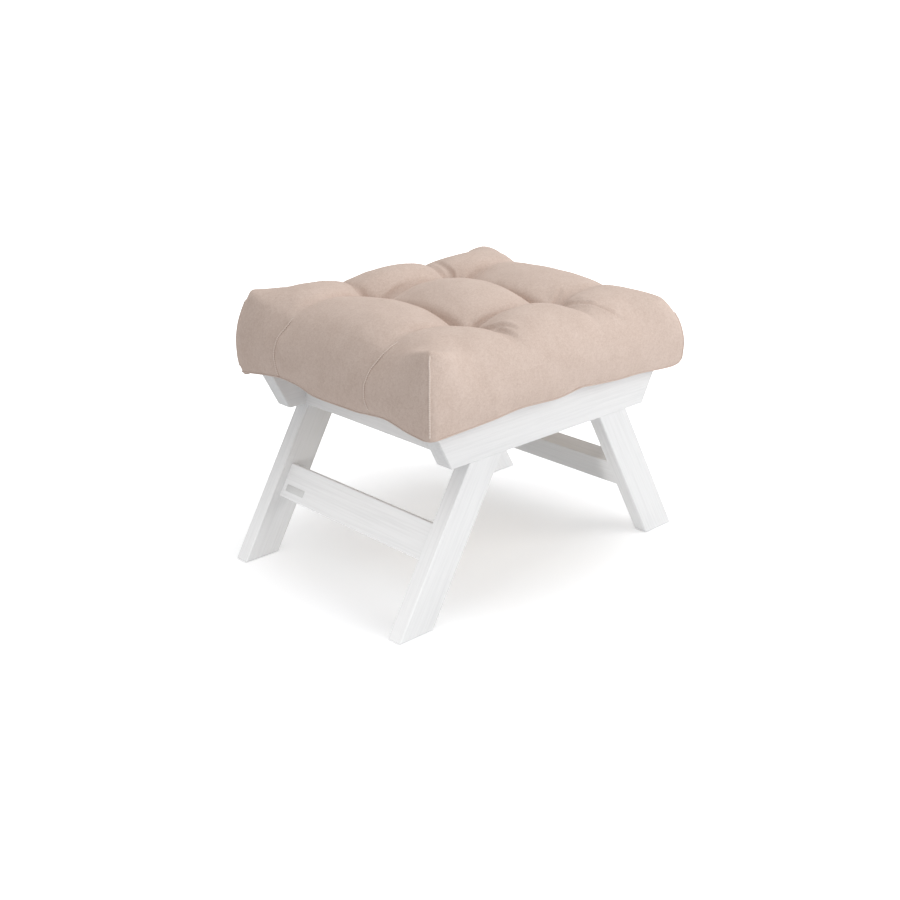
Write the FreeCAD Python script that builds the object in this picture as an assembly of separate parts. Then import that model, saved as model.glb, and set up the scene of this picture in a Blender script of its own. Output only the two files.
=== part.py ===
import FreeCAD, Part
import os
from math import atan2, cos, pi, radians, sin, sqrt, tan

# Footstool: a fixed pine frame on four splayed legs with a loose tufted cushion.
# X runs along the long rails, Y across them, Z up from the floor.
# The origin is on the floor under the middle of the stool. Lengths are in millimetres.

# Legs
foot_span = 660.0          # outer edge to outer edge of the feet, along X
leg_lean = 30.0            # degrees from upright, tops inward
leg_width = 60.0           # across the board, square to its length
leg_thickness = 28.0
leg_setback = 2.0          # leg face behind the rail face

# Rails and cross rails
rail_bottom = 253.0        # height of the leg joints
rail_height = 70.0
rail_thickness = 32.0
rail_overhang = 40.5       # rail past the legs, along its lower edge
rail_end_slant = 28.0      # degrees from upright, longer at the top
frame_width = 424.0        # outer face to outer face of the rails
cross_rail_inset = 33.5    # cross rail in from the end of the rail's lower edge

# Stretchers
stretcher_width = 60.0
stretcher_thickness = 28.0
stretcher_foot_gap = 127.0  # foot to stretcher, along the leg

# Edges of every board
long_edge_round = 2.5
foot_chamfer = 1.5
end_chamfer = 1.5
slat_chamfer = 1.5

# Loose tenons, glued into mortises on both sides of each joint
tenon_thickness = 10.0
leg_tenon_width = 40.0
leg_tenon_depth = 28.0
side_tenon_width = 40.0    # in the stretcher and cross rail joints
side_tenon_depth = 19.0    # into the leg or the rail
end_grain_depth = 30.0     # into the end of the stretcher or the cross rail
glue_gap = 0.1
mortise_end_gap = 0.8

# Seat bed
slat_count = 5
slat_spacing = 15.5        # between the slats, and beside the first and the last
slat_thickness = 15.0
slat_end_gap = 1.0
slat_side_gap = 0.5        # slat to the fingers of the cleat
cleat_depth = 20.0
cleat_height = 28.0
cleat_notch = 8.0          # the slats lie this deep in the cleat
cleat_end_gap = 1.0

# Countersunk screws that hold the cleats
screw_end_distance = 67.0  # from the end of the cleat
screw_radius = 2.2
screw_head_radius = 4.4
screw_head_depth = 2.6
screw_length = 38.0
screw_gap = 0.08

# Cushion
end_overhang = 33.5        # cushion past the tops of the rails' ends, where it is longest
side_overhang = 21.0       # lower seam past the rails' outer faces
cushion_thickness = 150.0  # above the frame, to the crest of the middle bulge
cushion_hang = 3.0         # lower seam below the top of the frame
shoulder_out = 4.0         # shoulders past the lower seam
shoulder_share = 0.65      # height of the side wall, as a share of the edge bulge
end_round = 68.0           # the end walls turn over to the top by this much
corner_round = 26.0        # how far the corners are rounded off across the width
end_undercut = 30.0        # how far the end walls turn under
tuft_x = 94.0
tuft_y = 108.0
tuft_depth = 52.0          # below the crest
crease_lift = 16.0         # creases between tufts stand this far above the tufts
side_pull_in = 4.0         # sides draw in beside the creases
edge_bulge_drop = 9.0      # crest of the edge bulges below the middle one
end_groove = 16.0          # depth of the creases where they run out to the ends
cover_thickness = 1.5
cushion_gap = 0.4          # cushion to frame
filling_gap = 0.3          # filling to cover
seam_band = 3.0            # height of the base panel's edge
tie_radius = 1.2
tuft_skin = 4.0            # the cover is this deep where its creases cross
tie_gap = 0.3

# Slices that the cushion's skin runs through: shares of the way from the tufts to the end
# turn, angles round that turn, and shares of the middle row. Hidden skins have fewer, with
# straight chords in place of arcs.
outer_skin = {
    "inset": 0.0, "chords": 0, "end_shares": (0, 0.08, 0.3, 0.6),
    "end_angles": (0, 24, 44, 62, 78, 90), "middle_shares": (-1, -0.85, -0.5, 0, 0.5, 0.85, 1),
}
inner_skin = {
    "chords": 3, "end_shares": (0, 0.3), "end_angles": (0, 30, 60, 90),
    "middle_shares": (-1, -0.8, -0.35, 0.35, 0.8, 1),
}

rail_top = rail_bottom + rail_height
lean = radians(leg_lean)
leg_cut = leg_width / cos(lean)
leg_top = foot_span / 2 - rail_bottom * tan(lean)
leg_y = frame_width / 2 - leg_setback - leg_thickness / 2
rail_y = frame_width / 2 - rail_thickness / 2
rail_low_end = leg_top + rail_overhang
rail_high_end = rail_low_end + rail_height * tan(radians(rail_end_slant))
cross_rail_x = rail_low_end - cross_rail_inset - rail_thickness / 2
inner_width = frame_width - 2 * rail_thickness
inner_length = 2 * cross_rail_x - rail_thickness
cleat_half_length = inner_length / 2 - cleat_end_gap
slat_width = (inner_length - (slat_count + 1) * slat_spacing) / slat_count
seam_level = rail_top - cushion_hang
crest_height = rail_top + cushion_thickness
tuft_level = crest_height - tuft_depth
cushion_end = rail_high_end + end_overhang
seam_half_width = frame_width / 2 + side_overhang


def vec(x, y, z):
    return FreeCAD.Vector(x, y, z)


def prism(outline, y_middle, thickness):
    """A board: an outline of (x, z) corners given a thickness along Y."""
    corners = [vec(x, y_middle - thickness / 2, z) for x, z in outline]
    face = Part.Face(Part.makePolygon(corners + corners[:1]))
    return face.extrude(vec(0, thickness, 0))


def beam(low, high):
    """A straight board between two opposite corners."""
    return Part.makeBox(high.x - low.x, high.y - low.y, high.z - low.z, low)


def edges_along(solid, direction):
    found = []
    for edge in solid.Edges:
        run = edge.valueAt(edge.LastParameter) - edge.valueAt(edge.FirstParameter)
        if run.cross(direction).Length < 1e-4 * run.Length:
            found.append(edge)
    return found


def round_edges(solid, edges, radius):
    return solid.makeFillet(radius, edges)


def mirror_x(shape):
    return shape.mirror(vec(0, 0, 0), vec(1, 0, 0))


def mirror_y(shape):
    return shape.mirror(vec(0, 0, 0), vec(0, 1, 0))


def four_ways(shape):
    """The shape at the left front, right front, left rear and right rear."""
    return [shape, mirror_x(shape), mirror_y(shape), mirror_x(mirror_y(shape))]


def loose_tenon(joint, across, direction, width, depth_back, depth_ahead, gap=0.0):
    """A flat tenon through the face of a joint, or with a gap the mortise for it.

    It is wide along across and reaches back and ahead of the joint along direction.
    """
    half = across * (width / 2 + gap)
    side = across.cross(direction) * (tenon_thickness / 2 + gap)
    start = joint - direction * depth_back
    corners = [start - half - side, start + half - side, start + half + side,
               start - half + side]
    section = Part.Face(Part.makePolygon(corners + corners[:1]))
    return section.extrude(direction * (depth_back + depth_ahead))


def screw(head_centre, direction, gap=0.0):
    """A countersunk screw, or with a gap the hole that it sits in."""
    shank = screw_radius + gap
    profile = [(0, 0), (screw_head_radius + gap, 0), (shank, screw_head_depth),
               (shank, screw_length + gap), (0, screw_length + gap)]
    corners = [vec(r, 0, -depth) for r, depth in profile]
    face = Part.Face(Part.makePolygon(corners + corners[:1]))
    solid = face.revolve(vec(0, 0, 0), vec(0, 0, 1), 360)
    solid.Placement = FreeCAD.Placement(
        head_centre, FreeCAD.Rotation(vec(0, 0, -1), direction))
    return solid


# The left front leg leans along this line, from its foot to its top.
leg_axis = vec(sin(lean), 0, cos(lean))
leg_across = vec(cos(lean), 0, -sin(lean))


def leg_tenon(gap=0.0, end_gap=0.0):
    """Between the left front leg and the rail, along the leg."""
    depth = leg_tenon_depth + end_gap
    return loose_tenon(vec(leg_cut / 2 - leg_top, -leg_y, rail_bottom), leg_across, leg_axis,
                       leg_tenon_width, depth, depth, gap)


def stretcher_middle():
    """Middle of the left stretcher's section, at the height where it meets the legs."""
    foot = vec(-foot_span / 2, 0, 0)
    along = stretcher_foot_gap + stretcher_width / 2
    return foot + leg_axis * along + leg_across * (leg_width / 2)


def stretcher_tenon(gap=0.0, end_gap=0.0):
    """Between the left front leg and the stretcher."""
    joint = stretcher_middle() - vec(0, leg_y - leg_thickness / 2, 0)
    return loose_tenon(joint, leg_axis, vec(0, 1, 0), side_tenon_width,
                       side_tenon_depth + end_gap, end_grain_depth + end_gap, gap)


def cross_rail_tenon(gap=0.0, end_gap=0.0):
    """Between the front rail and the left cross rail."""
    joint = vec(-cross_rail_x, -inner_width / 2, rail_bottom + rail_height / 2)
    return loose_tenon(joint, vec(0, 0, 1), vec(0, 1, 0), side_tenon_width,
                       side_tenon_depth + end_gap, end_grain_depth + end_gap, gap)


def mortise(board, tenon_at_left_front):
    """Cut the mortises of all four corners that reach the board."""
    return board.cut(four_ways(tenon_at_left_front(glue_gap, mortise_end_gap)))


def leg():
    """Left front leg: a board with both ends cut level."""
    foot = -foot_span / 2
    board = prism([(foot, 0), (foot + leg_cut, 0), (leg_cut - leg_top, rail_bottom),
                   (-leg_top, rail_bottom)], -leg_y, leg_thickness)
    board = round_edges(board, edges_along(board, leg_axis), long_edge_round)
    foot_edges = [edge for edge in board.Edges if edge.BoundBox.ZMax < 1e-6]
    board = board.makeChamfer(foot_chamfer, foot_edges)
    return mortise(mortise(board, leg_tenon), stretcher_tenon)


def rail():
    """Front rail: longer at the top than at the bottom."""
    board = prism([(-rail_low_end, rail_bottom), (rail_low_end, rail_bottom),
                   (rail_high_end, rail_top), (-rail_high_end, rail_top)],
                  -rail_y, rail_thickness)
    board = round_edges(board, edges_along(board, vec(1, 0, 0)), long_edge_round)
    end_edges = [edge for edge in board.Edges if abs(edge.CenterOfMass.x) > rail_low_end]
    board = board.makeChamfer(end_chamfer, end_edges)
    board = mortise(mortise(board, leg_tenon), cross_rail_tenon)
    return board.cut(cleat_screws(screw_gap))


def cross_rail():
    board = beam(vec(-cross_rail_x - rail_thickness / 2, -inner_width / 2, rail_bottom),
                 vec(-cross_rail_x + rail_thickness / 2, inner_width / 2, rail_top))
    board = round_edges(board, edges_along(board, vec(0, 1, 0)), long_edge_round)
    return mortise(board, cross_rail_tenon)


def stretcher():
    """Left stretcher: a straight board between the legs, turned to their lean."""
    middle = stretcher_middle()
    corners = []
    for along, across in ((-1, -1), (1, -1), (1, 1), (-1, 1)):
        corner = (middle + leg_axis * (along * stretcher_width / 2)
                  + leg_across * (across * stretcher_thickness / 2))
        corners.append((corner.x, corner.z))
    board = prism(corners, 0, 2 * leg_y - leg_thickness)
    board = round_edges(board, edges_along(board, vec(0, 1, 0)), long_edge_round)
    return mortise(board, stretcher_tenon)


def slat_middles():
    return [(number - (slat_count - 1) / 2) * (slat_width + slat_spacing)
            for number in range(slat_count)]


def cleat_screws(gap=0.0):
    """Screws from inside through the cleats into the rails."""
    x = cleat_half_length - screw_end_distance
    face = cleat_depth - inner_width / 2
    height = rail_top - slat_thickness - (cleat_height - cleat_notch) / 2
    return four_ways(screw(vec(-x, face, height), vec(0, -1, 0), gap))


def cleat():
    """Front cleat: a strip inside the front rail, notched for the slats."""
    seat = rail_top - slat_thickness
    rear = cleat_depth - inner_width / 2
    strip = beam(vec(-cleat_half_length, -inner_width / 2, seat + cleat_notch - cleat_height),
                 vec(cleat_half_length, rear, seat + cleat_notch))
    notch = slat_width / 2 + slat_side_gap
    notches = [beam(vec(x - notch, -inner_width / 2, seat), vec(x + notch, rear, rail_top))
               for x in slat_middles()]
    return strip.cut(notches + cleat_screws(screw_gap))


def slat(x_middle):
    half = inner_width / 2 - slat_end_gap
    board = beam(vec(x_middle - slat_width / 2, -half, rail_top - slat_thickness),
                 vec(x_middle + slat_width / 2, half, rail_top))
    return board.makeChamfer(slat_chamfer, edges_along(board, vec(0, 1, 0)))


def circle_through(a, b, c):
    """Centre and radius of the circle through three (y, z) points."""
    (ay, az), (by, bz), (cy, cz) = a, b, c
    d = 2 * (ay * (bz - cz) + by * (cz - az) + cy * (az - bz))
    a2, b2, c2 = ay * ay + az * az, by * by + bz * bz, cy * cy + cz * cz
    y = (a2 * (bz - cz) + b2 * (cz - az) + c2 * (az - bz)) / d
    z = (a2 * (cy - by) + b2 * (ay - cy) + c2 * (by - ay)) / d
    return (y, z), sqrt((ay - y) ** 2 + (az - z) ** 2)


def curve(x, start, end, centre, radius, chords):
    """The short arc of a circle between two points in the plane at x, or chords in it."""
    first = atan2(start[1] - centre[1], start[0] - centre[0])
    last = atan2(end[1] - centre[1], end[0] - centre[0])
    turn = (last - first + pi) % (2 * pi) - pi

    def at(share):
        angle = first + share * turn
        return vec(x, centre[0] + radius * cos(angle), centre[1] + radius * sin(angle))

    if not chords:
        return [Part.Arc(at(0), at(0.5), at(1)).toShape()]
    points = [at(number / chords) for number in range(chords + 1)]
    return [Part.LineSegment(a, b).toShape() for a, b in zip(points, points[1:])]


def point_on(centre, radius, y):
    """The upper point of a circle at y."""
    return (y, centre[1] + sqrt(radius ** 2 - (y - centre[0]) ** 2))


def cushion_section(x, half_width, seam, top, dip, skin):
    """One slice of the cushion across its width: swollen sides and three bulges.

    half_width is the slice's half width at the lower seam, seam that seam's height, top
    the crest of the middle bulge and dip the height of the two creases beside it. The
    skin moves the whole slice inward by its inset.
    """
    inset, chords = skin["inset"], skin["chords"]
    fullness = (top - seam) / (crest_height - seam_level)
    edge_crest = top - edge_bulge_drop * fullness
    side_top = (half_width + shoulder_out * fullness,
                seam + shoulder_share * (edge_crest - seam))
    crest = (half_width * 0.56 + tuft_y / 2, edge_crest)
    over, over_radius = circle_through(side_top, crest, (tuft_y, dip))
    middle_radius = circle_through((-tuft_y, dip), (0, top), (tuft_y, dip))[1]
    radial = vec(0, side_top[0] - over[0], side_top[1] - over[1])
    radial.normalize()
    to_seam = vec(0, half_width - side_top[0], seam - side_top[1])
    side_radius = -to_seam.dot(to_seam) / (2 * to_seam.dot(radial))
    side = (side_top[0] - radial.y * side_radius, side_top[1] - radial.z * side_radius)

    over_radius -= inset
    middle_radius -= inset
    side_radius -= inset
    turn = (over[0] + radial.y * over_radius, over[1] + radial.z * over_radius)
    low = seam + inset
    foot = (side[0] + sqrt(side_radius ** 2 - (low - side[1]) ** 2), low)
    crease = point_on(over, over_radius, tuft_y)
    middle = (0, crease[1] - sqrt(middle_radius ** 2 - tuft_y ** 2))

    def mirrored(point):
        return (-point[0], point[1])

    edges = curve(x, mirrored(foot), mirrored(turn), mirrored(side), side_radius, chords)
    edges += curve(x, mirrored(turn), mirrored(crease), mirrored(over), over_radius, chords)
    edges += curve(x, mirrored(crease), crease, middle, middle_radius, chords)
    edges += curve(x, crease, turn, over, over_radius, chords)
    edges += curve(x, turn, foot, side, side_radius, chords)
    edges.append(Part.LineSegment(vec(x, *foot), vec(x, *mirrored(foot))).toShape())
    return Part.Wire(edges)


def row_skin(sections):
    """The skin that runs through a row of slices, open at both ends."""
    return Part.makeLoft(sections, False, True).Faces


def end_row(skin):
    """Skin of the three bulges at the left end, and the end wall that closes it."""
    turn_x = cushion_end - end_round
    crease_top = tuft_level + crease_lift
    end_crest = crest_height - edge_bulge_drop
    sections = []
    for share in skin["end_shares"]:
        rise = sqrt(1 - (1 - share) ** 2)
        top = crease_top + (end_crest - crease_top) * rise
        dip = tuft_level + (end_crest - end_groove - tuft_level) * rise
        sections.append(cushion_section(
            -tuft_x - share * (turn_x - tuft_x), seam_half_width - side_pull_in * (1 - rise),
            seam_level, top, dip, skin))
    for angle in skin["end_angles"]:
        draw_in = 1 - cos(radians(angle))
        x = turn_x + (end_round - skin["inset"]) * sin(radians(angle))
        top = end_crest - end_round * draw_in
        sections.append(cushion_section(
            -x, seam_half_width - corner_round * draw_in,
            seam_level + end_undercut * draw_in, top, top - end_groove * (1 - 0.7 * draw_in),
            skin))
    return row_skin(sections) + [Part.Face(sections[-1])]


def middle_row(skin):
    """Skin of the three middle bulges."""
    crease_top = tuft_level + crease_lift
    sections = []
    for share in skin["middle_shares"]:
        rise = sqrt(1 - share * share)
        top = crease_top + (crest_height - crease_top) * rise
        dip = tuft_level + crease_lift * rise
        sections.append(cushion_section(
            share * tuft_x, seam_half_width - side_pull_in * (1 - rise), seam_level, top,
            dip, skin))
    return row_skin(sections)


def frame_print(clearance):
    """The space that the frame takes in the cushion's underside."""
    x = rail_high_end + cushion_gap + clearance
    y = frame_width / 2 + cushion_gap + clearance
    return beam(vec(-x, -y, seam_level - cushion_hang),
                vec(x, y, rail_top + cushion_gap + clearance))


def cushion_form(skin):
    """The cushion's shape, with the print of the frame in its underside."""
    left = Part.makeCompound(end_row(skin))
    shell = Part.Shell(left.Faces + middle_row(skin) + mirror_x(left).Faces)
    shell.sewShape()
    return Part.Solid(shell).cut(frame_print(skin["inset"]))


def base_zone():
    """The part of the cover that is cut from the base panel: up to the seam, and the
    print of the frame."""
    reach = 2 * (cushion_end + seam_half_width)
    below_seam = beam(vec(-reach, -reach, 0), vec(reach, reach, seam_level + seam_band))
    return below_seam.fuse(frame_print(cover_thickness))


def tie(x, y, gap=0.0):
    """A thread from the base panel up to a tuft, or with a gap its way through the fill.

    The thread is drawn with six sides.
    """
    low = rail_top + cushion_gap + cover_thickness + tie_gap
    high = tuft_level - tuft_skin - tie_gap
    if gap:
        low, high = rail_top, crest_height
    corners = [vec(x + (tie_radius + gap) * cos(side * pi / 3),
                   y + (tie_radius + gap) * sin(side * pi / 3), low) for side in range(7)]
    return Part.Face(Part.makePolygon(corners)).extrude(vec(0, 0, high - low))


def ties(gap=0.0):
    return [tie(x, y, gap) for x in (-tuft_x, tuft_x) for y in (-tuft_y, tuft_y)]


def cushion_parts():
    hollow = dict(inner_skin, inset=cover_thickness)
    cover = cushion_form(outer_skin).cut(cushion_form(hollow))
    filling = cushion_form(dict(inner_skin, inset=cover_thickness + filling_gap))
    zone = base_zone()
    return {
        "cover_top_panel": cover.cut(zone),
        "cover_base_panel": cover.common(zone),
        "cushion_filling": filling.cut(ties(tie_gap)),
        "tuft_ties": Part.makeCompound(ties()),
    }


def main():
    os.makedirs("parts", exist_ok=True)
    parts = {}
    for name, shape in zip(("front_left_leg", "front_right_leg", "rear_left_leg",
                            "rear_right_leg"), four_ways(leg())):
        parts[name] = shape
    front = rail()
    parts["front_rail"] = front
    parts["rear_rail"] = mirror_y(front)
    left = cross_rail()
    parts["left_cross_rail"] = left
    parts["right_cross_rail"] = mirror_x(left)
    low = stretcher()
    parts["left_stretcher"] = low
    parts["right_stretcher"] = mirror_x(low)
    for number, x in enumerate(slat_middles(), 1):
        parts[f"seat_slat_{number}"] = slat(x)
    strip = cleat()
    parts["front_slat_cleat"] = strip
    parts["rear_slat_cleat"] = mirror_y(strip)
    parts["cleat_screws"] = Part.makeCompound(cleat_screws())
    for name, tenon in (("leg_tenons", leg_tenon), ("stretcher_tenons", stretcher_tenon),
                        ("cross_rail_tenons", cross_rail_tenon)):
        parts[name] = Part.makeCompound(four_ways(tenon()))
    parts.update(cushion_parts())
    for name, shape in parts.items():
        shape.exportStep(f"parts/{name}.step")
        print(name, len(shape.Solids), round(shape.Volume), shape.isValid())


main()
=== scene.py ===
import math
import bpy
import numpy as np
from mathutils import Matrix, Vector, noise


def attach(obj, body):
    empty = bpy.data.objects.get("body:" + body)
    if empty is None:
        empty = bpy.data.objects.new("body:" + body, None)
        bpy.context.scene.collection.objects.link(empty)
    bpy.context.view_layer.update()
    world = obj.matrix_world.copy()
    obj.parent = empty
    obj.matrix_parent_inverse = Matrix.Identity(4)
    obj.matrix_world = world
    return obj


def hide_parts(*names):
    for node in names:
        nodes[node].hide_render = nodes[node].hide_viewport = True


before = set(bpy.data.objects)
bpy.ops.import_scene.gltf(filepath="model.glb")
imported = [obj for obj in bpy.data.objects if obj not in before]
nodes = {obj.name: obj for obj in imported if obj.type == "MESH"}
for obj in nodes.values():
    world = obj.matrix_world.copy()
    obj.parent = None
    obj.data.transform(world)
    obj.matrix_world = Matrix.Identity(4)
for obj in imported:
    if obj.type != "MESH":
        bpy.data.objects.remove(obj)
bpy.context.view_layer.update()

print("frame loaded,", len(nodes), "parts")


def deselectAll():
    if bpy.context.object and bpy.context.object.mode != "OBJECT":
        bpy.ops.object.mode_set(mode="OBJECT")
    bpy.ops.object.select_all(action="DESELECT")


def makeActive(piece):
    deselectAll()
    piece.select_set(True)
    bpy.context.view_layer.objects.active = piece


def applyPlace(piece):
    makeActive(piece)
    bpy.ops.object.transform_apply(location=True, rotation=True, scale=True)


def applyModifier(piece, modifier):
    makeActive(piece)
    bpy.ops.object.modifier_apply(modifier=modifier.name)


def pointsOf(piece):
    flat = np.zeros(len(piece.data.vertices) * 3)
    piece.data.vertices.foreach_get("co", flat)
    return flat.reshape(-1, 3)


def placePoints(piece, points):
    piece.data.vertices.foreach_set("co", points.ravel())
    piece.data.update()


def linear(hexColor):
    channels = [int(hexColor[i:i + 2], 16) / 255 for i in (1, 3, 5)]
    return tuple(c / 12.92 if c < 0.04045 else ((c + 0.055) / 1.055) ** 2.4 for c in channels) + (1,)


# Adds a node; inputs are names or numbers of sockets, with a value or an output to link.
def addNode(tree, kind, settings=None, inputs=None):
    node = tree.nodes.new("ShaderNode" + kind)
    for name, value in (settings or {}).items():
        setattr(node, name, value)
    for name, value in (inputs or {}).items():
        if isinstance(value, bpy.types.NodeSocket):
            tree.links.new(value, node.inputs[name])
        else:
            node.inputs[name].default_value = value
    return node


def newMaterial(name):
    material = bpy.data.materials.new(name)
    material.use_nodes = True
    tree = material.node_tree
    tree.nodes.clear()
    output = addNode(tree, "OutputMaterial")
    coordinates = addNode(tree, "TexCoord").outputs["Object"]
    return material, tree, output, coordinates


def blendColors(tree, factor, first, second):
    mix = addNode(tree, "Mix", {"data_type": "RGBA"}, {0: factor, 6: linear(first), 7: linear(second)})
    return mix.outputs[2]


# Turns a pattern's range into another one, 0 to 1 unless given.
def spread(tree, value, low, high, toLow=0.0, toHigh=1.0):
    return addNode(tree, "MapRange", None, {0: value, 1: low, 2: high, 3: toLow, 4: toHigh}).outputs[0]


def setMaterial(piece, material):
    piece.data.materials.clear()
    piece.data.materials.append(material)


# Pine boards, planed, sanded and painted white: the paint is thin enough that the soft early
# wood still shows as fine lines along each board.
pinePaint = {
    "color": "#E7E7E7", "grainColor": "#E0E0E0",
    "lineSpacing": 0.0034,                 # between growth lines, across the board
    "drawnOut": 38,                        # lines are this much longer than their spacing
    "figure": 0.05, "bandsPerLine": 0.07,  # share and closeness of the board's slow broad bands
    "grainFrom": 0.42, "grainTo": 0.66,    # part of the pattern that goes from one colour to the other
    "grainDepth": 0.0003,
    "brushMarks": 14.0,                    # per metre
    "glossy": 0.40, "dull": 0.52,          # roughness, least and most
    "ior": 1.48,
}


# Object coordinates with the board's length along X, in units of the line spacing.
def boardCoordinates(tree, coordinates, turn, spacing, drawnOut):
    turned = addNode(tree, "Mapping", {"vector_type": "TEXTURE"},
                     {"Vector": coordinates, "Rotation": turn})
    scale = (1 / (spacing * drawnOut), 1 / spacing, 1 / spacing)
    return addNode(tree, "Mapping", None, {"Vector": turned.outputs[0], "Scale": scale}).outputs[0]


def paintedPine(name, turn):
    material, tree, output, coordinates = newMaterial(name)
    along = boardCoordinates(tree, coordinates, turn, pinePaint["lineSpacing"], pinePaint["drawnOut"])
    lines = addNode(tree, "TexNoise", None,
                    {"Vector": along, "Scale": 1.0, "Detail": 5.0, "Roughness": 0.62})
    bands = addNode(tree, "TexWave", {"bands_direction": "Y"}, {
        "Vector": along, "Scale": pinePaint["bandsPerLine"], "Distortion": 6.0,
        "Detail": 2.0, "Detail Scale": 0.4})
    grain = addNode(tree, "Mix", {"data_type": "FLOAT"},
                    {0: pinePaint["figure"], 2: lines.outputs[0], 3: bands.outputs[1]}).outputs[0]
    shade = spread(tree, grain, pinePaint["grainFrom"], pinePaint["grainTo"])
    brushMarks = addNode(tree, "TexNoise", None,
                         {"Vector": coordinates, "Scale": pinePaint["brushMarks"], "Detail": 2.0})
    rough = spread(tree, brushMarks.outputs[0], 0.3, 0.7, pinePaint["glossy"], pinePaint["dull"])
    bump = addNode(tree, "Bump", None,
                   {"Strength": 0.55, "Distance": pinePaint["grainDepth"], "Height": grain})
    shader = addNode(tree, "BsdfPrincipled", None, {
        "Base Color": blendColors(tree, shade, pinePaint["color"], pinePaint["grainColor"]),
        "Roughness": rough, "IOR": pinePaint["ior"], "Normal": bump.outputs[0]})
    tree.links.new(shader.outputs[0], output.inputs[0])
    return material


# Planed pine with no finish: pale yellow wood with darker, harder late wood lines.
barePineLook = {"early": "#E8D2A8", "late": "#D6B482", "lineSpacing": 0.006, "drawnOut": 40}
# Pressed beech of the loose tenons: even pinkish wood with short flecks.
beechLook = {"early": "#D9B48C", "late": "#C69A70", "lineSpacing": 0.0022, "drawnOut": 9}
# What both have in common, named as for the paint.
woodSurface = {
    "bandsPerLine": 0.16, "figure": 0.5, "grainFrom": 0.3, "grainTo": 0.75,
    "grainDepth": 0.0003, "roughness": 0.62,
}


def bareWood(name, look, turn):
    material, tree, output, coordinates = newMaterial(name)
    along = boardCoordinates(tree, coordinates, turn, look["lineSpacing"], look["drawnOut"])
    fibres = addNode(tree, "TexNoise", None,
                     {"Vector": along, "Scale": 1.2, "Detail": 6.0, "Roughness": 0.6})
    rings = addNode(tree, "TexWave", {"bands_direction": "Y"}, {
        "Vector": along, "Scale": woodSurface["bandsPerLine"], "Distortion": 4.0,
        "Detail": 2.0, "Detail Scale": 0.5})
    grain = addNode(tree, "Mix", {"data_type": "FLOAT"},
                    {0: woodSurface["figure"], 2: fibres.outputs[0], 3: rings.outputs[1]}).outputs[0]
    shade = spread(tree, grain, woodSurface["grainFrom"], woodSurface["grainTo"])
    bump = addNode(tree, "Bump", None,
                   {"Strength": 0.4, "Distance": woodSurface["grainDepth"], "Height": grain})
    shader = addNode(tree, "BsdfPrincipled", None, {
        "Base Color": blendColors(tree, shade, look["early"], look["late"]),
        "Roughness": woodSurface["roughness"], "Normal": bump.outputs[0]})
    tree.links.new(shader.outputs[0], output.inputs[0])
    return material


# Zinc plated steel screws: bright metal, slightly mottled by its fine zinc crystals.
zincLook = {
    "color": "#C9CBCC", "dark": "#A9ABA9",
    "crystals": 900.0,             # per metre
    "glossy": 0.28, "dull": 0.46, "depth": 0.0001,
}


def zincSteel():
    material, tree, output, coordinates = newMaterial("zincSteel")
    mottle = addNode(tree, "TexNoise", None,
                     {"Vector": coordinates, "Scale": zincLook["crystals"], "Detail": 3.0}).outputs[0]
    rough = spread(tree, mottle, 0.3, 0.7, zincLook["glossy"], zincLook["dull"])
    bump = addNode(tree, "Bump", None, {"Strength": 0.3, "Distance": zincLook["depth"], "Height": mottle})
    shader = addNode(tree, "BsdfPrincipled", None, {
        "Base Color": blendColors(tree, mottle, zincLook["color"], zincLook["dark"]),
        "Metallic": 1.0, "Roughness": rough, "Normal": bump.outputs[0]})
    tree.links.new(shader.outputs[0], output.inputs[0])
    return material


# Brushed polyester velour, like suede: a short dense nap that scatters light, lies in soft
# patches where hands brushed it, and glows a little at grazing angles.
velourLook = {
    "color": "#D4C2B7", "brushed": "#C6B2A6",
    "napGrain": 0.0020,            # coarser than the hairs, as the eye sees it
    "speckle": 0.0045,             # small tufts of hairs that lean together
    "patch": 0.035,                # where the nap was brushed another way
    "fineShare": 0.7, "brushedFrom": 0.56, "brushedTo": 0.80,
    "napDepth": 0.0006, "patchDepth": 0.0025,
    "roughness": 0.95, "specular": 0.2,
    "sheen": 0.22, "sheenSpread": 0.45, "sheenTint": "#F2DDD0",
}


def velour(name, look):
    material, tree, output, coordinates = newMaterial(name)
    nap = addNode(tree, "TexNoise", None,
                  {"Vector": coordinates, "Scale": 1 / look["napGrain"], "Detail": 4.0, "Roughness": 0.7})
    patches = addNode(tree, "TexNoise", None,
                      {"Vector": coordinates, "Scale": 1 / look["patch"], "Detail": 5.0, "Roughness": 0.6})
    tufts = addNode(tree, "TexNoise", None,
                    {"Vector": coordinates, "Scale": 1 / look["speckle"], "Detail": 3.0, "Roughness": 0.6})
    fine = addNode(tree, "Math", {"operation": "MULTIPLY_ADD"},
                   {0: tufts.outputs[0], 1: 0.5, 2: nap.outputs[0]}).outputs[0]
    mottle = addNode(tree, "Mix", {"data_type": "FLOAT"},
                     {0: look["fineShare"], 2: patches.outputs[0], 3: fine}).outputs[0]
    shade = spread(tree, mottle, look["brushedFrom"], look["brushedTo"])
    napBump = addNode(tree, "Bump", None, {"Strength": 0.5, "Distance": look["napDepth"], "Height": fine})
    patchBump = addNode(tree, "Bump", None, {
        "Strength": 0.35, "Distance": look["patchDepth"], "Height": patches.outputs[0],
        "Normal": napBump.outputs[0]})
    shader = addNode(tree, "BsdfPrincipled", None, {
        "Base Color": blendColors(tree, shade, look["color"], look["brushed"]),
        "Roughness": look["roughness"], "Specular IOR Level": look["specular"],
        "Sheen Weight": look["sheen"], "Sheen Roughness": look["sheenSpread"],
        "Sheen Tint": linear(look["sheenTint"]), "Normal": patchBump.outputs[0]})
    tree.links.new(shader.outputs[0], output.inputs[0])
    return material


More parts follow.
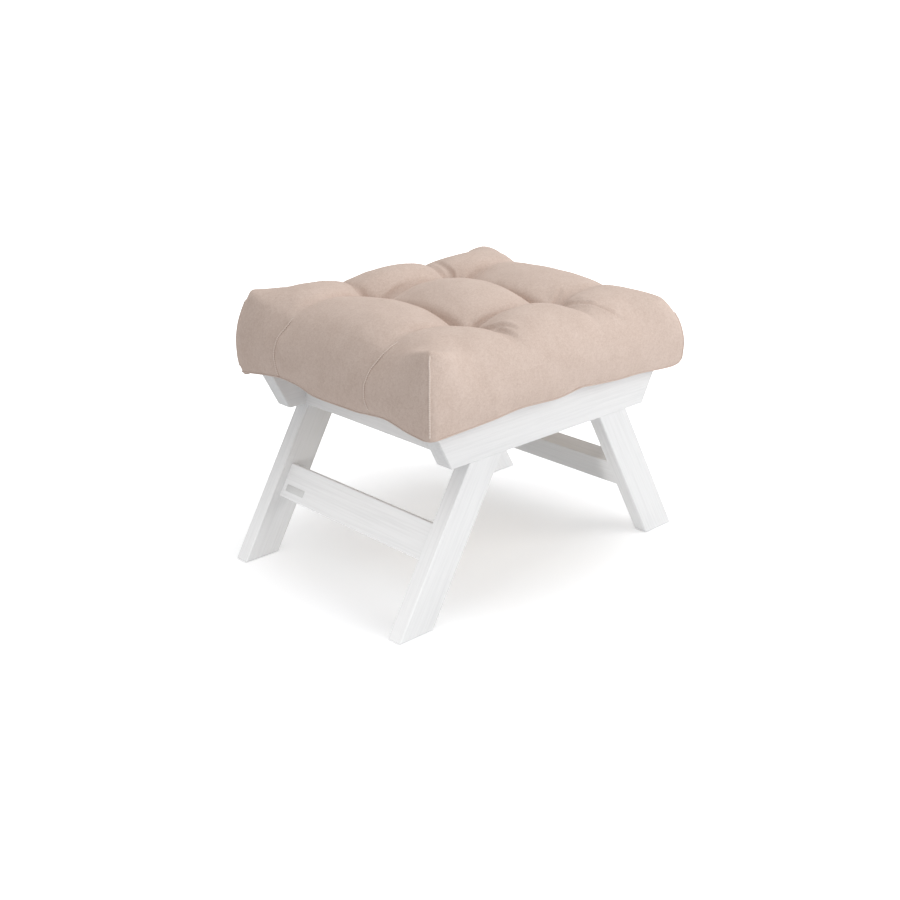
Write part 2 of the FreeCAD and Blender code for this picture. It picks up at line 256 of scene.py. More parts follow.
# Sewing thread and seam cord: fine turns that run round it, with painted shade: darker in the grooves
# between the turns, lighter on their tops.
threadLook = {"twist": 0.0016, "depth": 0.0003, "roughness": 0.85, "specular": 0.25, "sheen": 0.25}
wavePeriod = 0.314        # a wave texture at scale 1 repeats after this length


def twistedThread(name, color, shadow):
    material, tree, output, coordinates = newMaterial(name)
    turns = addNode(tree, "TexWave", {"bands_direction": "DIAGONAL"}, {
        "Vector": coordinates, "Scale": wavePeriod / threadLook["twist"], "Distortion": 1.0})
    bump = addNode(tree, "Bump", None,
                   {"Strength": 0.5, "Distance": threadLook["depth"], "Height": turns.outputs[1]})
    shader = addNode(tree, "BsdfPrincipled", None, {
        # Painted shade: the colour runs from the shadow colour in the grooves to the full colour on the
        # turns.
        "Base Color": blendColors(tree, turns.outputs[1], shadow, color),
        "Roughness": threadLook["roughness"], "Specular IOR Level": threadLook["specular"],
        "Sheen Weight": threadLook["sheen"], "Normal": bump.outputs[0]})
    tree.links.new(shader.outputs[0], output.inputs[0])
    return material


# Grey lacquered aluminium, brushed along its length: dull metal with fine straight scratches.
plateLook = {
    "color": "#D6D6D5", "scratch": "#C6C6C5",
    "scratches": (2500.0, 60.0, 2500.0),     # per metre, few along the plate
    "glossy": 0.42, "dull": 0.58,
    "metallic": 0.25,              # the lacquer hides most of the metal
    "depth": 0.0001,
}


def brushedPlate():
    material, tree, output, coordinates = newMaterial("greyPlate")
    stretched = addNode(tree, "Mapping", None, {"Vector": coordinates, "Scale": plateLook["scratches"]})
    brushed = addNode(tree, "TexNoise", None,
                      {"Vector": stretched.outputs[0], "Scale": 1.0, "Detail": 3.0}).outputs[0]
    rough = spread(tree, brushed, 0.3, 0.7, plateLook["glossy"], plateLook["dull"])
    bump = addNode(tree, "Bump", None,
                   {"Strength": 0.25, "Distance": plateLook["depth"], "Height": brushed})
    shader = addNode(tree, "BsdfPrincipled", None, {
        "Base Color": blendColors(tree, brushed, plateLook["color"], plateLook["scratch"]),
        "Metallic": plateLook["metallic"], "Roughness": rough, "Normal": bump.outputs[0]})
    tree.links.new(shader.outputs[0], output.inputs[0])
    return material


# Which way each board's grain runs: the turn that lays its length along X.
legLean = math.radians(30)
alongX = (0, 0, 0)
alongY = (0, 0, math.pi / 2)
alongLeftLeg = (0, legLean - math.pi / 2, 0)
alongRightLeg = (0, -legLean - math.pi / 2, 0)
paintX = paintedPine("whitePaintAlongX", alongX)
paintY = paintedPine("whitePaintAlongY", alongY)
boardMaterials = {
    "front_rail": paintX, "rear_rail": paintX,
    "left_cross_rail": paintY, "right_cross_rail": paintY,
    "left_stretcher": paintY, "right_stretcher": paintY,
    "cleat_screws": zincSteel(),
}
paintLeft = paintedPine("whitePaintLeftLegs", alongLeftLeg)
paintRight = paintedPine("whitePaintRightLegs", alongRightLeg)
for end in ("front", "rear"):
    boardMaterials[end + "_left_leg"] = paintLeft
    boardMaterials[end + "_right_leg"] = paintRight
slatPine = bareWood("barePineAlongY", barePineLook, alongY)
cleatPine = bareWood("barePineAlongX", barePineLook, alongX)
beech = bareWood("beechTenons", beechLook, alongY)
for name in nodes:
    if name.startswith("seat_slat"):
        boardMaterials[name] = slatPine
    elif name.endswith("cleat"):
        boardMaterials[name] = cleatPine
    elif name.endswith("tenons"):
        boardMaterials[name] = beech
for name, material in boardMaterials.items():
    setMaterial(nodes[name], material)
print("boards painted")


# The cushion. Sizes in metres, as it lies on the frame.
cushion = {
    "halfLength": 0.288, "halfWidth": 0.233,              # to the lower seam
    "seam": 0.322, "sideTop": 0.418, "underside": 0.3234,
    "hemX": 0.025, "hemY": 0.019,                         # edge of the underside that follows the seam
    "tuftX": 0.094, "tuftY": 0.108, "tuftHeight": 0.406,
    # Tops of the nine bulges, from left to right, and in each column from the front to the rear.
    "crests": ((0.445, 0.458, 0.466), (0.452, 0.465, 0.468), (0.447, 0.455, 0.463)),
    "meanCrest": 0.455,
    "rowsFrom": 0.3,                                      # rows blend from this share of a tuft's distance
    "outerBulge": 0.45,                                   # full height at this share of the way to the edge
    "corners": ((0.450, 0.458), (0.426, 0.452)),          # tops of the corner seams
    "cornerRound": ((0.014, 0.024), (0.006, 0.014)),      # radius of the corners at the lower seam
    "rounderAbove": ((0.014, 0.030), (0.050, 0.032)),     # and this much more at their tops
    "cornerOut": ((0, 0), (0.011, 0.004)),                # how far they stick out lengthways, low down
    "shoulder": 0.095, "shoulderSteep": 0.97, "shoulderPower": 2.1,
    "cornerReach": 0.11,
    "valleyBetween": 0.22,                                # valleys rise this share between two tufts
    "valleyOut": 0.35, "valleyReach": 0.055,              # and fade towards the edges
    "swell": 0.007, "drawnIn": 0.016,                     # sides swell half way up and lean in on top
    "swellReach": 0.12,
    "cornersKeep": 0.75,                                  # share of drawnIn that the corners are spared
}
# Height of the lower seam in mm, at places along the front (x) and along the left side (y).
frontSeam = ((-288, 314), (-204, 318), (-155, 320), (-103, 325), (-50, 322), (-22, 320), (6, 322),
             (34, 327), (63, 324), (123, 319), (185, 318), (250, 311), (288, 309))
leftSeam = ((-233, 315), (-187, 319), (-135, 330), (-108, 326), (-80, 323), (6, 322),
            (36, 323), (65, 331), (96, 334), (128, 333), (161, 329), (233, 317))
seamEase = 0.012        # the seam's turns are eased over this much on either side


def smoothStep(value, start, end):
    share = np.clip((value - start) / (end - start), 0, 1)
    return share * share * (3 - 2 * share)


# 1 in the valley that runs through the tufts, 0 on the bulges on either side.
def valleyAcross(place, tuft, half):
    outward = np.clip((place - tuft) / (cushion["outerBulge"] * (half - tuft)), 0, 1)
    inner = np.sqrt(np.clip(1 - (place / tuft) ** 2, 0, 1))
    return 1 - np.where(place < tuft, inner, np.sqrt(1 - (1 - outward) ** 2))


# How deep a valley is along its length: full at the tufts, fading out to the edge.
def valleyDepth(place, tuft):
    inner = 1 - cushion["valleyBetween"] * (1 - (place / tuft) ** 2)
    fade = np.exp(-((place - tuft) / cushion["valleyReach"]) ** 2)
    return np.where(place < tuft, inner, cushion["valleyOut"] + (1 - cushion["valleyOut"]) * fade)


# How much a place belongs to the low, the middle and the high row of bulges.
def rowShares(place, tuft, half):
    begin, end = cushion["rowsFrom"] * tuft, 0.5 * (tuft + half)
    low, high = smoothStep(-place, begin, end), smoothStep(place, begin, end)
    return low, 1 - low - high, high


# 0 on the top, rising to nearly 1 where the shoulder has rolled over to the side.
def overEdge(place, half):
    share = np.clip((place - (half - cushion["shoulder"])) / cushion["shoulder"], 0, 1)
    return 1 - np.sqrt(1 - cushion["shoulderSteep"] * share ** cushion["shoulderPower"])


# The lower seam's height at a place along a side.
def seamHeight(place, measured):
    places, heights = np.array(measured).T / 1000
    shifts = np.linspace(-seamEase, seamEase, 9)
    return sum(np.interp(place + shift, places, heights) for shift in shifts) / len(shifts)


# Blends four values, given for the left and the right end, front before rear.
def byCorner(x, y, values):
    right = smoothStep(x, -cushion["halfLength"], cushion["halfLength"])
    rear = smoothStep(y, -cushion["halfWidth"], cushion["halfWidth"])
    (leftFront, leftRear), (rightFront, rightRear) = values
    return (1 - right) * ((1 - rear) * leftFront + rear * leftRear) + right * (
        (1 - rear) * rightFront + rear * rightRear)


# Height of the top: nine bulges, four tufts, and shoulders that roll over to the sides.
def cushionTop(x, y, crest, nearCorner):
    ax, ay = np.abs(x), np.abs(y)
    hx, hy, tx, ty = (cushion[name] for name in ("halfLength", "halfWidth", "tuftX", "tuftY"))
    inX = valleyAcross(ax, tx, hx) * valleyDepth(ay, ty)
    inY = valleyAcross(ay, ty, hy) * valleyDepth(ax, tx)
    top = crest - (crest - cushion["tuftHeight"]) * (1 - (1 - inX) * (1 - inY))
    cornerTop = byCorner(x, y, cushion["corners"])
    sideTop = crest + cushion["sideTop"] - cushion["meanCrest"]
    edgeTop = cornerTop * nearCorner + sideTop * (1 - nearCorner)
    over = 1 - (1 - overEdge(ax, hx)) * (1 - overEdge(ay, hy))
    return top - np.clip(over, 0, 1) * (top - edgeTop)


# Moves the points of a plain block to the cushion's form before it is filled.
def shapeCushion(start):
    x, y, z = start.T
    ax, ay = np.abs(x), np.abs(y)
    hx, hy = cushion["halfLength"], cushion["halfWidth"]
    share = np.clip((z - cushion["seam"]) / (cushion["sideTop"] - cushion["seam"]), 0, 1)
    columns, rows = rowShares(x, cushion["tuftX"], hx), rowShares(y, cushion["tuftY"], hy)
    crest = sum(columns[i] * rows[j] * cushion["crests"][i][j] for i in range(3) for j in range(3))
    reach = cushion["cornerReach"]
    nearCorner = smoothStep(ax, hx - reach, hx) * smoothStep(ay, hy - reach, hy)
    # The rear and the right side have the front's and the left side's seam, turned about the middle.
    front = seamHeight(np.where(y < 0, x, -x), frontSeam)
    left = seamHeight(np.where(x < 0, y, -y), leftSeam)
    overFront = np.clip((ay - (hy - cushion["hemY"])) / cushion["hemY"], 0, 1)
    overLeft = np.clip((ax - (hx - cushion["hemX"])) / cushion["hemX"], 0, 1)
    flat = np.clip(1 - overFront - overLeft, 0, 1) * cushion["underside"]
    low = (flat + overFront * front + overLeft * left) / np.maximum(overFront + overLeft, 1)
    shaped = start.copy()
    shaped[:, 2] = low + share * (cushionTop(x, y, crest, nearCorner) - low)
    swell = cushion["swell"] * np.sin(np.pi * share ** 0.8)
    swell -= cushion["drawnIn"] * share ** 3 * (1 - cushion["cornersKeep"] * nearCorner)
    shaped[:, 0] += np.sign(x) * smoothStep(ax, hx - cushion["swellReach"], hx) * swell
    shaped[:, 1] += np.sign(y) * smoothStep(ay, hy - cushion["swellReach"], hy) * swell
    shaped[:, 0] += np.sign(x) * byCorner(x, y, cushion["cornerOut"]) * nearCorner * (1 - share) ** 4
    rounding = byCorner(x, y, cushion["cornerRound"])
    rounding = rounding + byCorner(x, y, cushion["rounderAbove"]) * share ** 3
    tiny = 1e-6
    pastX = np.clip(ax - hx + rounding, tiny, None)
    pastY = np.clip(ay - hy + rounding, tiny, None)
    drawn = 1 - np.maximum(pastX, pastY) / np.hypot(pastX, pastY)
    shaped[:, 0] -= np.sign(x) * pastX * drawn
    shaped[:, 1] -= np.sign(y) * pastY * drawn
    return shaped, share


# Pressure fills the cover. The base with the lowest part of the sides, the corner seams, the tufts
# and the folds between them are held, and no point moves further than the cap.
filling = {
    "voxel": 0.006, "pressure": 6, "frames": 20, "cap": 0.012,
    "baseShare": 0.07, "cornerShare": 0.85, "topShare": 0.99,      # shares of the sides' height
    "aroundCorner": 0.005, "aroundTuft": 0.004, "besideFold": 0.0035, "foldPast": 0.02,
}


def fillCushion(piece, start, shaped, share):
    ax, ay = np.abs(start[:, 0]), np.abs(start[:, 1])
    tx, ty = cushion["tuftX"], cushion["tuftY"]
    toTuft = np.hypot(np.abs(shaped[:, 0]) - tx, np.abs(shaped[:, 1]) - ty)
    toCorner = np.hypot(ax - cushion["halfLength"], ay - cushion["halfWidth"])
    inFoldX = (np.abs(ax - tx) < filling["besideFold"]) & (ay < ty + filling["foldPast"])
    inFoldY = (np.abs(ay - ty) < filling["besideFold"]) & (ax < tx + filling["foldPast"])
    held = share < filling["baseShare"]
    held |= (toCorner < filling["aroundCorner"]) & (share < filling["cornerShare"])
    held |= (share > filling["topShare"]) & ((toTuft < filling["aroundTuft"]) | inFoldX | inFoldY)
    group = piece.vertex_groups.new(name="held")
    group.add([int(i) for i in np.where(held)[0]], 1.0, "REPLACE")
    cloth = piece.modifiers.new("filling", "CLOTH")
    settings = cloth.settings
    settings.vertex_group_mass = group.name
    settings.use_pressure = True
    settings.uniform_pressure_force = filling["pressure"]
    settings.effector_weights.gravity = 0
    cloth.point_cache.frame_end = filling["frames"]
    for step in range(1, filling["frames"] + 1):
        bpy.context.scene.frame_set(step)
    filled = piece.evaluated_get(bpy.context.evaluated_depsgraph_get())
    flat = np.zeros(len(shaped) * 3)
    filled.data.vertices.foreach_get("co", flat)
    piece.modifiers.remove(cloth)
    bpy.context.scene.frame_set(1)
    return shaped + np.clip(flat.reshape(-1, 3) - shaped, -filling["cap"], filling["cap"])


def makeCushion():
    deselectAll()
    low, high = cushion["seam"], cushion["sideTop"]
    bpy.ops.mesh.primitive_cube_add(size=1, location=(0, 0, (low + high) / 2))
    piece = bpy.context.object
    piece.name = "tuftedCushion"
    piece.scale = (2 * cushion["halfLength"], 2 * cushion["halfWidth"], high - low)
    applyPlace(piece)
    piece.data.remesh_voxel_size = filling["voxel"]
    bpy.ops.object.voxel_remesh()
    start = pointsOf(piece)
    shaped, share = shapeCushion(start)
    placePoints(piece, shaped)
    placePoints(piece, fillCushion(piece, start, shaped, share))
    finer = piece.modifiers.new("finer", "SUBSURF")
    finer.levels = finer.render_levels = 1
    applyModifier(piece, finer)
    bpy.ops.object.shade_smooth()
    return piece


tuftedCushion = makeCushion()
print("cushion filled,", len(tuftedCushion.data.vertices), "points")


# Valleys on the top, in mm: places (x, y) along each, between the tufts and out from them.
innerValleys = (
    ((-94, 108), (-94, -108)), ((94, 108), (94, -108)),
    ((-94, -108), (94, -108)), ((-94, 108), (94, 108)),
)
outerValleys = (
    ((-94, -108), (-88, -146), (-88, -175), (-84, -205), (-79, -224)),
    ((94, -108), (112, -132), (111, -159), (122, -179), (148, -199), (160, -214)),
    ((94, -108), (136, -110), (176, -113), (250, -110)),
    ((94, 108), (141, 109), (190, 108), (250, 104)),
    ((94, 108), (107, 140), (110, 164), (114, 190)),
    ((-94, 108), (-100, 150), (-92, 200)),
    ((-94, 108), (-140, 112), (-190, 107), (-262, 104)),
    ((-94, -108), (-140, -112), (-190, -108), (-258, -116)),
)
# Sharp folds in the cloth beside the valleys, in mm.
foldLines = (
    ((-93, -116), (-86, -146), (-88, -175), (-86, -190), (-82, -212)),
    ((-88, -150), (-75, -172), (-67, -196)),
    ((-84, -106), (-61, -103), (-37, -101), (-8, -104)),
    ((97, -116), (113, -134), (110, -158), (119, -177), (137, -189), (158, -205)),
    ((112, -160), (126, -191), (138, -207), (156, -226)),
    ((100, -108), (136, -110), (160, -113), (190, -112)),
    ((97, 114), (109, 136), (108, 150), (110, 168), (112, 190)),
    ((100, 109), (141, 109), (175, 108)),
    ((-97, 116), (-102, 140), (-98, 170), (-94, 195)),
    ((-84, 110), (-42, 115), (5, 116)),
)
# Short creases that run out from each tuft: (direction in degrees from +X, length, depth in mm).
tuftCreases = {
    (-1, -1): ((-128, 42, 2.0), (-70, 40, 2.2), (22, 40, 2.2),
               (-24, 46, 2.4), (205, 36, 1.8), (152, 40, 2.0)),
    (-1, 1): ((30, 30, 1.8), (-22, 36, 2.0), (-118, 36, 2.0),
              (-62, 40, 2.2), (140, 40, 1.8), (66, 34, 1.8)),
    (1, -1): ((14, 64, 4.0), (-22, 58, 3.4), (-62, 62, 3.4),
              (-116, 44, 2.2), (66, 36, 2.0), (152, 40, 2.0)),
    (1, 1): ((26, 40, 2.2), (-30, 40, 2.2), (60, 44, 2.2),
             (120, 40, 2.0), (-66, 36, 2.0), (206, 36, 1.8)),
}
creaseStart = 0.003         # metres from the middle of the tuft
creaseCurl = 0.02           # radians a step
creaseSteps = 8
# The sewn tucks where the outer valleys run down both ends, in mm: places (y, z), of the left end.
endTucks = (
    ((106, 432), (108, 424), (117, 409), (123, 397), (125, 377), (123, 352), (120, 332)),
    ((-116, 434), (-113, 424), (-106, 410), (-99, 396), (-94, 373), (-96, 350), (-104, 332)),
)
# Grooves: depth and width in metres, the low lip beside them as a share of the depth, and how the
# depth fades along the line.
grooves = {
    "inner": {"depth": 0.0085, "width": 0.0085, "lip": 0.15, "fade": (1, 0.7, 0.5, 0.7, 1)},
    "outer": {"depth": 0.0085, "width": 0.0085, "lip": 0.15, "fade": (1, 0.7, 0.3, 0.05)},
    "fold": {"depth": 0.0054, "width": 0.0034, "lip": 0.40, "fade": (0.5, 1, 0.9, 0.6, 0)},
    "star": {"depth": 0.0030, "width": 0.0036, "lip": 0.35, "fade": (0.4, 1, 0.6, 0)},
    "tuck": {"depth": 0.0045, "width": 0.0110, "lip": 0.10, "fade": (0.3, 1, 1, 0.8, 0.4)},
    "tuckEdge": {"depth": 0.0026, "width": 0.0030, "lip": 0.25, "fade": (0.2, 1, 1, 0.8, 0.4)},
}
groovePower = 1.4           # under 2 gives the groove a narrow, V-shaped bottom
lipPlace = 2.2              # middle of the lip, in widths from the line
grooveReach = 4             # in widths from the line
# Loose waves in the cloth, from a little above the underside: waves per metre, height in metres.
looseWaves = {"broad": (16, 0.0011), "small": (45, 0.0006), "smallShift": (3, 1, 7), "above": 0.004}


# Places on the cover straight under a point above it, and level with a point beyond one end.
aboveCushion, beyondEnd = 0.6, 0.5


def dropOnto(x, y):
    return tuftedCushion.ray_cast(Vector((x, y, aboveCushion)), Vector((0, 0, -1)))[1]


def pushOnto(side, y, z):
    return tuftedCushion.ray_cast(Vector((side * beyondEnd, y, z)), Vector((-side, 0, 0)))[1]


# Places every 5 mm or so along a line through places in mm, rounded where it turns.
lineStep = 0.005


def smoothLine(places):
    places = np.array(places, dtype=float) * 0.001
    lengths = np.linalg.norm(np.diff(places, axis=0), axis=1)
    run = np.concatenate(([0], np.cumsum(lengths)))
    steps = np.linspace(0, run[-1], max(int(run[-1] / lineStep), 4))
    reach = 0.25 * lengths.min()
    shifts = np.linspace(-reach, reach, 7)
    line = []
    for step in steps:
        around = [np.array([np.interp(step + shift, run, axis) for axis in places.T]) for shift in shifts]
        line.append(sum(around) / len(shifts))
    return np.array(line)


# Presses a groove along a line into the surface, with a low lip on either side.
def carve(points, normals, line, groove, depth=None):
    line = np.array(line)
    width, depth = groove["width"], depth or groove["depth"]
    low, high = line.min(0) - grooveReach * width, line.max(0) + grooveReach * width
    close = np.where(((points > low) & (points < high)).all(1))[0]
    near = points[close]
    best = np.full(len(close), np.inf)
    share = np.zeros(len(close))
    for step, (begin, end) in enumerate(zip(line, line[1:])):
        onward = end - begin
        along = np.clip(((near - begin) @ onward) / (onward @ onward), 0, 1)
        distance = np.linalg.norm(near - begin - along[:, None] * onward, axis=1)
        closer = distance < best
        best = np.where(closer, distance, best)
        share = np.where(closer, (step + along) / (len(line) - 1), share)
    fade = np.interp(share, np.linspace(0, 1, len(groove["fade"])), groove["fade"])
    lip = groove["lip"] * np.exp(-((best - lipPlace * width) / width) ** 2)
    press = lip - np.exp(-(best / width) ** groovePower)
    points[close] += normals[close] * (depth * press * fade)[:, None]


def normalsOf(piece):
    flat = np.zeros(len(piece.data.vertices) * 3)
    piece.data.vertices.foreach_get("normal", flat)
    return flat.reshape(-1, 3)


# The four tucks on the cover: the right end has the left end's, turned about the middle.
def tuckLines():
    lines = []
    for side in (-1, 1):
        for places in endTucks:
            lines.append([pushOnto(side, -side * y, z) for y, z in smoothLine(places)])
    return lines


def creaseCushion(piece):
    points, normals = pointsOf(piece), normalsOf(piece)
    for groove, valleys in (("inner", innerValleys), ("outer", outerValleys), ("fold", foldLines)):
        for places in valleys:
            carve(points, normals, [dropOnto(x, y) for x, y in smoothLine(places)], grooves[groove])
    for (right, rear), creases in tuftCreases.items():
        for number, (angle, length, depth) in enumerate(creases):
            line = []
            curl = creaseCurl * (-1) ** number          # left and right in turn
            for step in range(creaseSteps + 1):
                turn = math.radians(angle) + curl * step
                out = creaseStart + length / 1000 * step / creaseSteps
                line.append(dropOnto(right * cushion["tuftX"] + out * math.cos(turn),
                                     rear * cushion["tuftY"] + out * math.sin(turn)))
            carve(points, normals, line, grooves["star"], depth / 1000)
    for line in tuckLines():
        carve(points, normals, line, grooves["tuck"])
        carve(points, normals, line, grooves["tuckEdge"])
    broadRate, broadHeight = looseWaves["broad"]
    smallRate, smallHeight = looseWaves["small"]
    shift = Vector(looseWaves["smallShift"])
    for index, point in enumerate(points):
        place = Vector(point)
        if point[2] > cushion["underside"] + looseWaves["above"]:
            broad = broadHeight * noise.noise(place * broadRate)
            small = smallHeight * noise.noise(place * smallRate + shift)
            points[index] += normals[index] * (broad + small)
    placePoints(piece, points)


creaseCushion(tuftedCushion)
velourCloth = velour("velourCover", velourLook)
setMaterial(tuftedCushion, velourCloth)
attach(tuftedCushion, "cushion")
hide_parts("cover_top_panel", "cover_base_panel", "cushion_filling")
print("creases pressed in")


# Seams: thin raised cords of sewn cloth that lie on the cover. The corner and tuck seams are coloured paler
# than the cloth: a painted highlight for the light their raised ridges catch.
seamLook = {
    "cornerRadius": 0.0013, "tuckRadius": 0.0012, "lowerRadius": 0.0010,
    "proud": 0.5,                                   # middle of the cord above the cloth, in radii
    "cornerFrom": 0.312, "cornerPast": 0.014,       # lowest point, and how far past the corner's top
    "outside": (0.315, 0.260),                      # beside the corners, from where the cover is met
    "lowerOut": 0.006, "lowerDrop": 0.001,
    "cornerSteps": 26, "lowerSteps": (64, 52),
}


# One piece from round cords that follow smooth lines on the cover.
def seamCord(name, paths, radius, closed, material):
    deselectAll()
    curve = bpy.data.curves.new(name, "CURVE")
    curve.dimensions = "3D"
    curve.bevel_depth = radius
    curve.bevel_resolution = 2
    curve.use_fill_caps = True
    for path in paths:
        spline = curve.splines.new("NURBS")
        spline.points.add(len(path) - 1)
        for point, place in zip(spline.points, path):
            point.co = (*place, 1)
        spline.order_u = 3
        spline.use_cyclic_u = closed
        spline.use_endpoint_u = not closed
        spline.resolution_u = 3
    piece = bpy.data.objects.new(name, curve)
    bpy.context.scene.collection.objects.link(piece)
    makeActive(piece)
    bpy.ops.object.convert(target="MESH")
    bpy.ops.object.shade_smooth()
    piece = bpy.context.object
    setMaterial(piece, material)
    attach(piece, "cushion")
    return piece


# A line on the cover near the given places, whose ends dive under the cloth.
def onCover(places, radius, closed=False):
    line = []
    for number, place in enumerate(places):
        spot, normal = tuftedCushion.closest_point_on_mesh(Vector(place))[1:3]
        atEnd = not closed and number in (0, len(places) - 1)
        line.append(spot + normal * radius * (-1 if atEnd else seamLook["proud"]))
    return line


# Up the four corners, a little way over the top of each.
def cornerPaths():
    paths = []
    besideX, besideY = seamLook["outside"]
    for right in (0, 1):
        for rear in (0, 1):
            sx, sy = 2 * right - 1, 2 * rear - 1
            top = cushion["corners"][right][rear] + seamLook["cornerPast"]
            heights = np.linspace(seamLook["cornerFrom"], top, seamLook["cornerSteps"])
            places = [(sx * besideX, sy * besideY, z) for z in heights]
            paths.append(onCover(places, seamLook["cornerRadius"]))
    return paths


# Once round the cushion, from the front left corner along the front.
def lowerPath():
    hx, hy = cushion["halfLength"], cushion["halfWidth"]
    outX, outY = hx + seamLook["lowerOut"], hy + seamLook["lowerOut"]
    stepsX, stepsY = seamLook["lowerSteps"]
    places = []
    for x in np.linspace(-hx, hx, stepsX)[:-1]:
        places.append((x, -outY, float(seamHeight(x, frontSeam))))
    for y in np.linspace(-hy, hy, stepsY)[:-1]:
        places.append((outX, y, float(seamHeight(-y, leftSeam))))
    for x in np.linspace(hx, -hx, stepsX)[:-1]:
        places.append((x, outY, float(seamHeight(-x, frontSeam))))
    for y in np.linspace(hy, -hy, stepsY)[:-1]:
        places.append((-outX, y, float(seamHeight(y, leftSeam))))
    lower = [(x, y, z - seamLook["lowerDrop"]) for x, y, z in places]
    return onCover(lower, seamLook["lowerRadius"], closed=True)


# Painted highlight: the pale cord is lighter than the cover's cloth; the lower seam keeps the cloth's
# colour.
paleSeam = twistedThread("paleSeamCord", "#EADDD3", "#D2BFB3")
clothSeam = twistedThread("lowerSeamCord", "#D4C2B7", "#C8B5AA")
seamCord("cornerSeams", cornerPaths(), seamLook["cornerRadius"], False, paleSeam)
seamCord("lowerSeam", [lowerPath()], seamLook["lowerRadius"], True, clothSeam)
tuckPaths = [onCover(line, seamLook["tuckRadius"]) for line in tuckLines()]
seamCord("tuckSeams", tuckPaths, seamLook["tuckRadius"], False, paleSeam)

# A short thick stitch lies in each tuft and stands for the thread below it. Its turns are in radians.
stitch = {
    "length": 0.011, "radius": 0.0009,
    "rise": 0.0012, "bow": 0.6,               # its middle stands up by rise times bow
    "turns": ((-1, -1, 0.3), (1, -1, 0.6), (-1, 1, 0.1), (1, 1, 0.4)),
}


def stitchPath(x, y, turn):
    path = []
    for step in (-1, -0.5, 0, 0.5, 1):
        reach = step * stitch["length"] / 2
        place = dropOnto(x + reach * math.cos(turn), y + reach * math.sin(turn))
        path.append(place + Vector((0, 0, stitch["rise"] * (stitch["bow"] - step * step))))
    return path


stitchPaths = [stitchPath(sx * cushion["tuftX"], sy * cushion["tuftY"], turn)
               for sx, sy, turn in stitch["turns"]]
tuftStitches = seamCord("tuftStitches", stitchPaths, stitch["radius"], False, paleSeam)
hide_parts("tuft_ties")
print("seams sewn")


# The small bare plate on the outer face of the left stretcher, near its rear end.
plate = {
    "length": 0.046, "width": 0.0115, "thickness": 0.0008,
    "edgeRound": 0.4,                         # share of the thickness
    "smoothUnder": 40,                        # degrees
    "face": (-0.23764, 0.1498, 0.12797),      # place on the middle line of the stretcher's outer face
    "below": 0.0124,                          # plate's middle under that line
}


def makePlate():
    deselectAll()
    out = Vector((-math.cos(legLean), 0, math.sin(legLean)))
    up = Vector((math.sin(legLean), 0, math.cos(legLean)))
    middle = Vector(plate["face"]) - up * plate["below"] + out * plate["thickness"] / 2
    bpy.ops.mesh.primitive_cube_add(size=1, location=middle, rotation=(0, legLean, 0))
    piece = bpy.context.object
    piece.name = "barePlate"
    piece.scale = (plate["thickness"], plate["length"], plate["width"])
    applyPlace(piece)
    edges = piece.modifiers.new("edges", "BEVEL")
    edges.width = plate["thickness"] * plate["edgeRound"]
    edges.segments = 3
    applyModifier(piece, edges)
    bpy.ops.object.shade_smooth_by_angle(angle=math.radians(plate["smoothUnder"]))
    setMaterial(piece, brushedPlate())
    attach(piece, "frame")


makePlate()
print("plate fixed")


# Studio: a pale floor that reads white with painted light, a soft lamp above, a larger and stronger one in
# front on the right, and a low lamp on the left.
studio = {
    "floorSize": 90, "floorColor": "#EBEDF0", "floorSpeckle": "#EDEDED", "floorHeight": -0.0005,
    # Painted light: a glow that only the camera sees is added to the floor, weak near the stool and full
    # further out, so that the floor turns white a little way out from the stool and its shadow shows only
    # close to it.
    "paintedGlowNear": 0.27, "paintedGlowFar": 1.0, "paintedGlowFrom": 0.20, "paintedGlowTo": 0.85,
    "worldStrength": 0.65,
    "overhead": {"place": (0.2, -0.2, 3.0), "size": 1.6, "power": 15},
    "side": {"place": (1.5, -2.8, 1.6), "size": 3.0, "power": 53},
    "lampAim": (0, 0, 0.3),
    # Lights the legs and low boards from the left, and stays under the cushion.
    "low": {
        "place": (-2.25, -0.55, 0.10), "aim": (0, 0, -0.16),
        "angle": 24, "softEdge": 0.5, "radius": 0.06, "power": 72,
    },
}


def addLamp(name, lamp):
    deselectAll()
    bpy.ops.object.light_add(type="AREA", location=lamp["place"])
    light = bpy.context.object
    light.name = name
    light.data.shape = "DISK"
    light.data.size = lamp["size"]
    light.data.energy = lamp["power"]
    toStool = Vector(studio["lampAim"]) - Vector(lamp["place"])
    light.rotation_euler = toStool.to_track_quat("-Z", "Y").to_euler()


def addLowSpot(lamp):
    deselectAll()
    bpy.ops.object.light_add(type="SPOT", location=lamp["place"])
    light = bpy.context.object
    light.name = "lowLamp"
    light.data.spot_size = math.radians(lamp["angle"])
    light.data.spot_blend = lamp["softEdge"]
    light.data.shadow_soft_size = lamp["radius"]
    light.data.energy = lamp["power"]
    onward = Vector(lamp["aim"]) - Vector(lamp["place"])
    light.rotation_euler = onward.to_track_quat("-Z", "Y").to_euler()


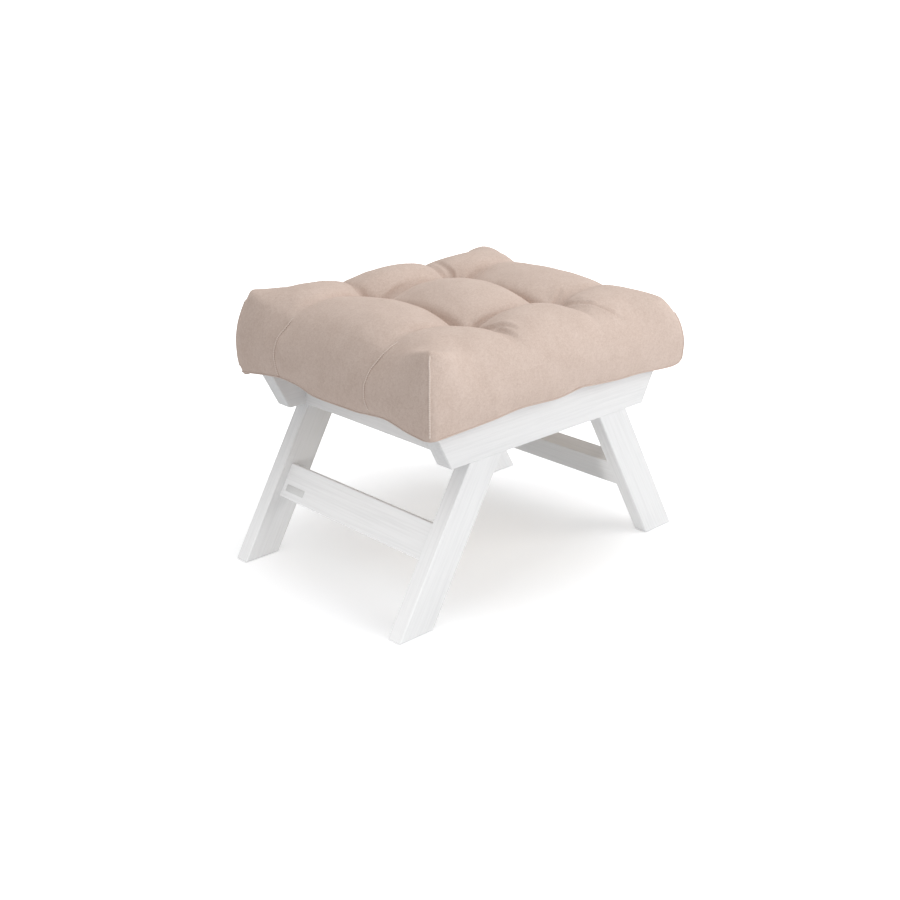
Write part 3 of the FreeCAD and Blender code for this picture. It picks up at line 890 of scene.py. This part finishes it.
def makeFloor():
    deselectAll()
    place = (0, 0, studio["floorHeight"])
    bpy.ops.mesh.primitive_plane_add(size=studio["floorSize"], location=place)
    floor = bpy.context.object
    floor.name = "studioFloor"
    applyPlace(floor)
    material, tree, output, coordinates = newMaterial("paleFloor")
    speckle = addNode(tree, "TexNoise", None, {"Vector": coordinates, "Scale": 3.0, "Detail": 2.0})
    color = blendColors(tree, speckle.outputs[0], studio["floorColor"], studio["floorSpeckle"])
    diffuse = addNode(tree, "BsdfDiffuse", None, {"Color": color})
    # Painted light: the floor glows for camera rays only, less near the stool than far from it.
    seen = addNode(tree, "LightPath").outputs["Is Camera Ray"]
    away = addNode(tree, "VectorMath", {"operation": "LENGTH"}, {0: coordinates}).outputs["Value"]
    paintedGlow = addNode(tree, "MapRange", {"interpolation_type": "SMOOTHSTEP"}, {
        0: away, 1: studio["paintedGlowFrom"], 2: studio["paintedGlowTo"], 3: studio["paintedGlowNear"], 4: studio["paintedGlowFar"]})
    strength = addNode(tree, "Math", {"operation": "MULTIPLY"}, {0: seen, 1: paintedGlow.outputs[0]})
    glow = addNode(tree, "Emission", None, {"Color": (1, 1, 1, 1), "Strength": strength.outputs[0]})
    both = addNode(tree, "AddShader", None, {0: diffuse.outputs[0], 1: glow.outputs[0]})
    tree.links.new(both.outputs[0], output.inputs[0])
    setMaterial(floor, material)


# Soft light from all round; what looks past the stool, or is mirrored in it, sees white.
def makeWorld():
    world = bpy.data.worlds.new("studioWorld")
    bpy.context.scene.world = world
    world.use_nodes = True
    tree = world.node_tree
    tree.nodes.clear()
    output = addNode(tree, "OutputWorld")
    ambient = addNode(tree, "Background", None,
                      {"Color": (1, 1, 1, 1), "Strength": studio["worldStrength"]})
    white = addNode(tree, "Background", None, {"Color": (1, 1, 1, 1), "Strength": 1.0})
    rays = addNode(tree, "LightPath")
    seen = addNode(tree, "Math", {"operation": "MAXIMUM"},
                   {0: rays.outputs["Is Camera Ray"], 1: rays.outputs["Is Glossy Ray"]})
    seen = addNode(tree, "Math", {"operation": "MAXIMUM"},
                   {0: seen.outputs[0], 1: rays.outputs["Is Transmission Ray"]})
    both = addNode(tree, "MixShader", None,
                   {0: seen.outputs[0], 1: ambient.outputs[0], 2: white.outputs[0]})
    tree.links.new(both.outputs[0], output.inputs[0])


# The photograph's camera, solved from the straight edges of the boards.
view = {"place": (-1.4456, -1.4840, 0.9511), "turn": (69.31, 0, -43.753), "lens": 51.49, "sensor": 36}


def makeCamera():
    deselectAll()
    turn = [math.radians(angle) for angle in view["turn"]]
    bpy.ops.object.camera_add(location=view["place"], rotation=turn)
    camera = bpy.context.object
    camera.data.lens = view["lens"]
    camera.data.sensor_width = view["sensor"]
    bpy.context.scene.camera = camera


makeFloor()
makeWorld()
addLamp("overheadLamp", studio["overhead"])
addLamp("sideLamp", studio["side"])
addLowSpot(studio["low"])
makeCamera()
bpy.context.scene.view_settings.view_transform = "Standard"
print("studio set")
